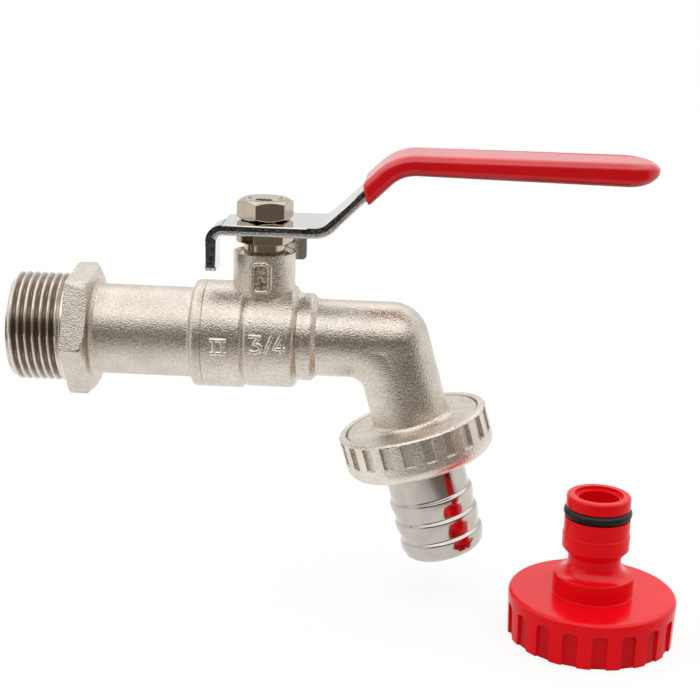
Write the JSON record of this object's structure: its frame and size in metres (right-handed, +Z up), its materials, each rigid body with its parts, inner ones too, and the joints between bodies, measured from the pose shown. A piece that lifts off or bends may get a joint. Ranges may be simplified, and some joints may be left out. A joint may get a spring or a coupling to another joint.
{
  "type": "garden tap",
  "caption": "Lever ball tap for the garden with a long threaded inlet, a bent spout, a union nut with a ribbed hose tail, and a loose push-on hose adapter for the same spout.",
  "frame": {"origin": "on the inlet axis, at the shoulder where the inlet thread meets the hexagon", "axes": "+X along the inlet axis towards the spout, +Z up along the lever's stem, +Y away from the camera"},
  "size_m": [0.1612, 0.061, 0.1098],
  "materials": {
    "blasted_nickel": "shot-blasted nickel plate on forged brass",
    "polished_nickel": "polished nickel plate",
    "chrome_tail": "polished chrome plate",
    "chrome_steel": "bright plated steel strip with sheared edges",
    "red_dip": "glossy dipped vinyl",
    "red_plastic": "glossy moulded plastic",
    "black_rubber": "matte rubber",
    "white_seal": "smooth white seal"
  },
  "bodies": {
    "tap_body": {"body": "blasted_nickel", "inlet_connector": "blasted_nickel", "seat_inlet": "white_seal", "seat_outlet": "white_seal", "stem_thrust_washer": "white_seal", "packing_ring": "white_seal", "gland_nut": "polished_nickel", "click_adapter": "red_plastic", "adapter_o_ring": "black_rubber", "adapter_washer": "black_rubber"},
    "lever": {"lever": "chrome_steel", "lever_sleeve": "red_dip", "lever_nut": "polished_nickel", "stem": "polished_nickel", "ball": "chrome_tail"},
    "hose_tail": {"hose_tail": "chrome_tail", "tail_washer": "black_rubber"},
    "union_nut": {"union_nut": "blasted_nickel"}
  },
  "joints": [
    {"name": "lever_turn", "type": "hinge", "parent": "tap_body", "child": "lever", "pos_m": [0.04663, 0, 0], "axis": [0, 0, 1], "range_deg": [-90, 0]},
    {"name": "tail_drop", "type": "slide", "parent": "tap_body", "child": "hose_tail", "axis": [0.2807, 0, -0.9598], "range_m": [0, 0.00693]},
    {"name": "nut_spin", "type": "hinge", "parent": "hose_tail", "child": "union_nut", "pos_m": [0.07763, 0, 0], "axis": [0.2807, 0, -0.9598], "range_deg": [0, 1080]}
  ],
  "couplings": [
    {"joint": "tail_drop", "follows": "nut_spin", "m_per_rad": 0.00036749}
  ]
}
